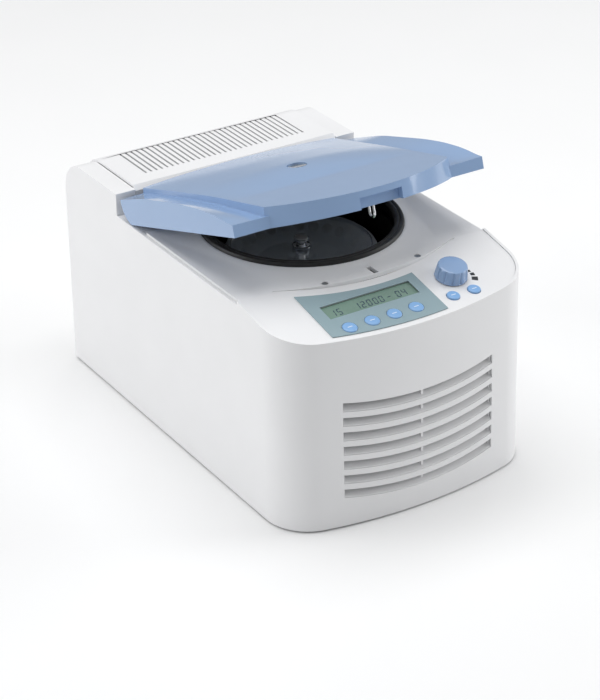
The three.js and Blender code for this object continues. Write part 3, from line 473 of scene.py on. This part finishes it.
# ---- Chamber and rotor ----
gasket = [
    (97.5, 208), (103.8, 208), (103.8, 222.0), (103.1, 223.4), (101.8, 224.2), (100.6, 224.3), (99.6, 224.0),
    (98.9, 223.4), (98.2, 223.9), (97, 224.2), (95.6, 223.9), (94.2, 222.9), (93.3, 221.4), (94.2, 214),
]
show(turned(gasket, 0, ROTOR_Y, 192), "chamber_gasket", "housing", "black_rubber", 0)
bowl = [
    (13, 126.8), (83, 126.8), (94.7, 138), (94.7, 206.2), (103.5, 206.2), (103.5, 207.6), (93.5, 207.6),
    (93.5, 138.5), (82.6, 128), (13, 128),
]
show(turned(bowl, 0, ROTOR_Y, 160), "chamber_bowl", "housing", "dark_chamber", 0)


def rotor():
    profile = [
        (6, 146), (20, 146), (26, 151), (78, 151), (88, 161), (88, 170), (76.5, 193), (74.5, 194), (66, 194),
        (46, 174), (16, 174), (14, 183), (6, 183),
    ]
    wells = []
    for i in range(WELL_COUNT):
        well = rod(WELL_RADIUS, -WELL_DEPTH, 12, 0, 0, 24)
        turn = Matrix.Rotation(i * 2 * math.pi / WELL_COUNT, 4, "Z")
        slant = Matrix.Translation((WELL_CIRCLE, 0, WELL_MOUTH_Z)) @ Matrix.Rotation(-math.pi / 4, 4, "Y")
        well.data.transform(Matrix.Translation((0, ROTOR_Y, 0)) @ turn @ slant)
        wells.append(well)
    return cut(turned(profile, 0, ROTOR_Y, 120), together(wells))


show(rotor(), "rotor", "rotor", "rotor_alloy", 0.3)
cover = [
    (4.6, 188.5), (40, 188.5), (66, 194.6), (71.4, 194.6), (72, 195.2), (72, 196.3), (71.5, 196.8),
    (65.6, 196.8), (39.6, 190.7), (4.6, 190.7),
]
show(turned(cover, 0, ROTOR_Y, 160), "rotor_lid", "rotor_cover", "smoke_clear", 0)
knob = [
    (0, 174), (4.2, 174), (4.2, 191.1), (8.2, 191.1), (9.2, 191.6), (9.4, 192.4), (9.4, 193.6), (9.0, 194.6),
    (8.2, 195.0), (4.8, 195.3), (4.2, 195.9), (4.2, 198.2), (5.0, 198.8), (7, 199.2), (7.7, 200.1),
    (7.8, 201.2), (7.5, 202.4), (6.6, 203.1), (4, 203.4), (0, 203.5),
]
show(turned(knob, 0, ROTOR_Y, 96), "rotor_knob", "rotor_cover_knob", "bright_chrome", 0)


# ---- Control panel ----
def lid_footprint(margin):
    half, radius = DOME_HALF + margin, DOME_RADIUS + margin
    spread, cy = math.asin(half / radius), LID_REAR - DOME_CENTRE
    tip = LID_REAR - EAR_LENGTH - margin / 4
    return [
        (LID_HALF + margin, LID_REAR), (-LID_HALF - margin, LID_REAR),
        (-LID_HALF - margin, tip), (-half, tip),
        *arc(0, cy, radius, -math.pi / 2 - spread, -math.pi / 2 + spread, 56),
        (half, tip), (LID_HALF + margin, tip),
    ]


def on_panel(solid):
    solid.data.transform(ON_PANEL)
    return solid


def control_panel():
    far = FRONT_Y - 12
    near = PANEL_Y - GAP
    slab = [
        (near, panel_height(near) - PANEL_RECESS - WALL), (near, panel_height(near) - PANEL_RECESS),
        (far, panel_height(far) - PANEL_RECESS), (far, panel_height(far) - PANEL_RECESS - WALL),
    ]
    panel = common(drafted(plan_outline(WALL + GAP), 150, 260), prism(slab, "x", -HALF_WIDTH, HALF_WIDTH))
    holes = [rod(radius + 0.4, -10, 10, x, KEY_Y, 48) for _, x, radius in KEYS]
    display = box(LCD[0] - 1, LCD[1] + 1, LCD[2] - 1, LCD[3] + 1, -10, 10)
    return cut(
        panel,
        rod(STEP_RADIUS, 100, 300, 0, STEP_CENTRE_Y, 360),
        prism(lid_footprint(1), "z", DECK_Z - 0.2, 260),
        on_panel(together([display, *holes, rod(4, -10, 10, DIAL_X, DIAL_Y)])),
    )


show(control_panel(), "control_panel", "housing", "white_moulding", 0.4)


def overlay():
    left, right = -92, 34
    xs = [left + (right - left) * i / 40 for i in range(41)]
    edge = lambda x, apex, radius: apex + radius - math.sqrt(radius ** 2 - x ** 2)
    outline = [(x, edge(x, -94.6, 440)) for x in xs] + [(x, edge(x, -33.6, 262)) for x in reversed(xs)]
    holes = [rod(radius + 0.4, -10, 10, x, KEY_Y, 48) for _, x, radius in KEYS[:4]]
    return cut(prism(outline, "z", GAP, GAP + 0.7), together([box(*LCD, -10, 10), *holes]))


show(overlay(), "display_overlay", "housing", "grey_label", 0.12, ON_PANEL)

SEGMENTS = {
    "0": "abcdef", "1": "bc", "2": "abged", "4": "fgbc", "5": "afgcd", "-": "g",
}


def digit(x, y, char, width=4.6, height=9.2, stroke=0.95):
    """One slanted seven-segment digit, standing on the display."""
    half = height / 2
    spots = {
        "a": (0.6, width - 0.6, height - stroke, height), "d": (0.6, width - 0.6, 0, stroke),
        "g": (0.6, width - 0.6, half - stroke / 2, half + stroke / 2),
        "f": (0, stroke, half + 0.5, height - 0.5), "b": (width - stroke, width, half + 0.5, height - 0.5),
        "e": (0, stroke, 0.5, half - 0.5), "c": (width - stroke, width, 0.5, half - 0.5),
    }
    bars = []
    for name in SEGMENTS[char]:
        x0, x1, y0, y1 = spots[name]
        lean = [(x + px + 0.12 * py, y + py) for px, py in ((x0, y0), (x1, y0), (x1, y1), (x0, y1))]
        bars.append(prism(lean, "z", -0.98, -0.9))
    return bars


bars = []
for start, chars in ((-73, "15"), (-46, "12000"), (-9.5, "-"), (1, "04")):
    for i, char in enumerate(chars):
        bars += digit(start + i * 6.9, -57.2, char)
show(together(bars), "lcd_digits", "housing", "lcd", 0, ON_PANEL, DIGIT, False)

for name, x, radius in KEYS:
    cap = [
        (0, -6), (radius, -6), (radius, 1.0), (radius - 0.25, 1.4), (radius - 0.8, 1.75), (radius - 2, 1.87),
        (0, 1.9),
    ]
    show(turned(cap, x, KEY_Y, 64), name, name + "_cap", "blue_key", 0, ON_PANEL)
    legend = box(x - 2.6, x + 2.6, KEY_Y - 0.45, KEY_Y + 0.45, 1.86, 1.96)
    show(legend, name + "_legend", name + "_cap", "blue_key", 0, ON_PANEL, LEGEND, False)


def dial():
    profile = [
        (0, 0.8), (16.2, 0.8), (16.5, 1.4), (16.4, 2.2), (15.0, 12.4), (14.7, 13.4), (14, 14.2), (12.6, 14.5),
        (0, 14.6),
    ]
    depth = [0, 0, 0, 0.075, 0.075, 0.05, 0, 0, 0]
    flute = lambda angle, row: 1 - depth[row] * max(0, math.cos(12 * angle)) ** 3
    return cut(turned(profile, DIAL_X, DIAL_Y, 240, flute), rod(3.3, -5, 10, DIAL_X, DIAL_Y))


show(dial(), "set_dial", "dial", "blue_lid", 0, ON_PANEL, angle=40)


def dial_mark(start, end, inner, outer):
    steps = 10
    outline = arc(DIAL_X, DIAL_Y, inner, start, end, steps) + arc(DIAL_X, DIAL_Y, outer, end, start, steps)
    return prism(outline, "z", 0.02, 0.1)


marks = [
    dial_mark(math.radians(a), math.radians(b), 20.5, 20.5 + wide)
    for a, b, wide in ((-38, -24, 6.2), (-19, -8, 4.4), (-4, 5, 2.8))
]
show(together(marks), "dial_marks", "housing", "white_moulding", 0, ON_PANEL, INK, False)

# ---- Lid, drawn closed and turned open ----
EAR_EDGE = ((0, 25), (54, 29), (134, 27.3), (168, 24.8), (200.4, 19.9), (231.3, 11.3))
EAR_FOOT = ((0, 26), (60, 25), (142, 20), (190, 15.5), (231.3, 11.3))
DOME_RIDGE = ((0, 31.2), (172, 24), (268, 17.8))
DOME_CROWN = ((0, 4.5), (50, 6.5), (110, 7), (140, 4.5), (172, 0), (268, 0))
DOME_SIDES = ((-8, 124), (60, 118), (142, 113))


def along(table, position):
    if position <= table[0][0]:
        return table[0][1]
    for (a, va), (b, vb) in zip(table, table[1:]):
        if position <= b:
            return va + (vb - va) * (position - a) / (b - a)
    return table[-1][1]


def eased(table, position, reach=12):
    """The same table with its corners rounded over a length."""
    return sum(along(table, position + reach * k / 4) for k in range(-4, 5)) / 9


def ear_height(x, y):
    length = LID_REAR - y
    share = min(1, max(0, (abs(x) - 113) / (LID_HALF - 113)))
    foot, edge = eased(EAR_FOOT, length), eased(EAR_EDGE, length)
    return LID_BOTTOM + foot + (edge - foot) * share


def dome_height(x, y):
    length = LID_REAR - y
    crown = eased(DOME_CROWN, length) if length < 160 else along(DOME_CROWN, length)
    return LID_BOTTOM + along(DOME_RIDGE, length) + crown * (1 - (x / 118) ** 2)


def dome_block(inset, rear, height, nx=48, ny=60):
    radius, half = DOME_RADIUS - inset, DOME_HALF - inset
    spread = math.asin(half / radius)
    sides = [(along(DOME_SIDES, v) - inset, LID_REAR - v) for v in (rear, 60, 142)]
    outline = [
        *((-x, y) for x, y in sides),
        *arc(0, LID_REAR - DOME_CENTRE, radius, -math.pi / 2 - spread, -math.pi / 2 + spread, 64),
        *reversed(sides),
    ]
    walls = prism(outline, "z", LID_BOTTOM - 10, LID_BOTTOM + 40)
    for vertex in walls.data.vertices:
        if vertex.co.z > LID_BOTTOM:
            vertex.co.x *= 0.93
    return common(walls, terrain(-126, 126, LID_REAR - 270, LID_REAR - rear, LID_BOTTOM - 7, height, nx, ny))


def lid_shell():
    ears = terrain(
        -LID_HALF, LID_HALF, LID_REAR - EAR_LENGTH, LID_REAR - 1, LID_BOTTOM - 9, ear_height, 56, 48,
    )
    swing = math.acos((HINGE_Z - LID_BOTTOM) / LID_BARREL)
    side = [
        (-170, LID_BOTTOM), *arc(HINGE_Y, HINGE_Z, LID_BARREL, -math.pi / 2 + swing, 0, 24),
        (HINGE_Y + LID_BARREL, 270), (-170, 270),
    ]
    outside = common(join(ears, dome_block(0, 1, dome_height)), prism(side, "x", -150, 150))
    boss = box(-29, 29, -165, LID_REAR - 254, LID_BOTTOM - 10, LID_BOTTOM + 15)
    hollow = cut(dome_block(WALL, -8, lambda x, y: dome_height(x, y) - WALL, 24, 30), boss)
    ear_hollows = []
    for sign in (-1, 1):
        a, b = sorted((sign * (LID_HALF - WALL), sign * 124.5))
        ear_hollows.append(terrain(
            a, b, LID_REAR - EAR_LENGTH + WALL, LID_REAR - 6, LID_BOTTOM - 9,
            lambda x, y: ear_height(x, y) - WALL, 4, 24,
        ))
    return cut(
        outside, hollow, *ear_hollows,
        box(-24, 24, -170, LID_REAR - 258, LID_BOTTOM - 5, LID_BOTTOM + 11.5),
        rod(10.4, 200, 300, 0, ROTOR_Y, 64),
    )


show(lid_shell(), "lid_shell", "lid", "blue_lid", 0.9, OPENED, angle=26)
window_top = dome_height(0, ROTOR_Y)
window = [
    (0, window_top - 8.4), (12.4, window_top - 8.4), (12.4, window_top - 5.4), (10, window_top - 5.4),
    (10, window_top - 1.3), (9.6, window_top - 0.9), (0, window_top - 0.9),
]
show(turned(window, 0, ROTOR_Y, 64), "viewport_window", "lid", "smoke_clear", 0, OPENED)

# ---- The CAD pieces still shown get rounded shading ----
for node in frame["nodes"].values():
    if not node.hide_render:
        for face in node.data.polygons:
            face.use_smooth = True
        node.data.set_sharp_from_angle(angle=math.radians(32))

# ---- Studio: a pale floor, soft light from above and from both sides, and the camera ----
floor = made("floor", [(-9, -9, 0), (9, -9, 0), (9, 9, 0), (-9, 9, 0)], [[0, 1, 2, 3]])
floor.data.materials.append(material("studio_floor", "fafafa", 0.42, 0.004, cloud=2, bump=0.0))

world = bpy.data.worlds.new("studio")
bpy.context.scene.world = world
world.use_nodes = True
world.node_tree.nodes["Background"].inputs["Color"].default_value = (0.97, 0.985, 1, 1)
world.node_tree.nodes["Background"].inputs["Strength"].default_value = 0.34


def softbox(name, location, target, size, power):
    light = bpy.data.lights.new(name, "AREA")
    light.shape, light.size, light.energy = "SQUARE", size, power
    lamp = bpy.data.objects.new(name, light)
    lamp.location = location
    lamp.rotation_euler = (Vector(target) - Vector(location)).to_track_quat("-Z", "Y").to_euler()
    bpy.context.scene.collection.objects.link(lamp)


softbox("overhead", (0.0, 0.4, 3.1), (0, 0, 0.1), 2.6, 64)
softbox("left", (-3.0, 1.5, 1.3), (0, 0, 0.15), 2.2, 42)
softbox("right", (2.9, -1.0, 1.2), (0, 0, 0.2), 1.8, 40)

azimuth, elevation, roll = math.radians(-32.43), math.radians(28.60), math.radians(-0.45)
level = math.cos(elevation)
back = Vector((math.sin(azimuth) * level, -math.cos(azimuth) * level, math.sin(elevation)))
right = Vector((math.cos(azimuth), math.sin(azimuth), 0))
up = back.cross(right)
across = right * math.cos(roll) + up * math.sin(roll)
upward = up * math.cos(roll) - right * math.sin(roll)
lens = bpy.data.cameras.new("camera")
lens.lens, lens.sensor_width, lens.clip_start, lens.clip_end = 115.71, 36, 0.05, 50
camera = bpy.data.objects.new("camera", lens)
facing = Matrix((across, upward, back)).transposed().to_4x4()
camera.matrix_world = Matrix.Translation((-1.1014, -1.7368, 1.1902)) @ facing
bpy.context.scene.collection.objects.link(camera)
bpy.context.scene.camera = camera
bpy.context.scene.view_settings.view_transform = "Standard"
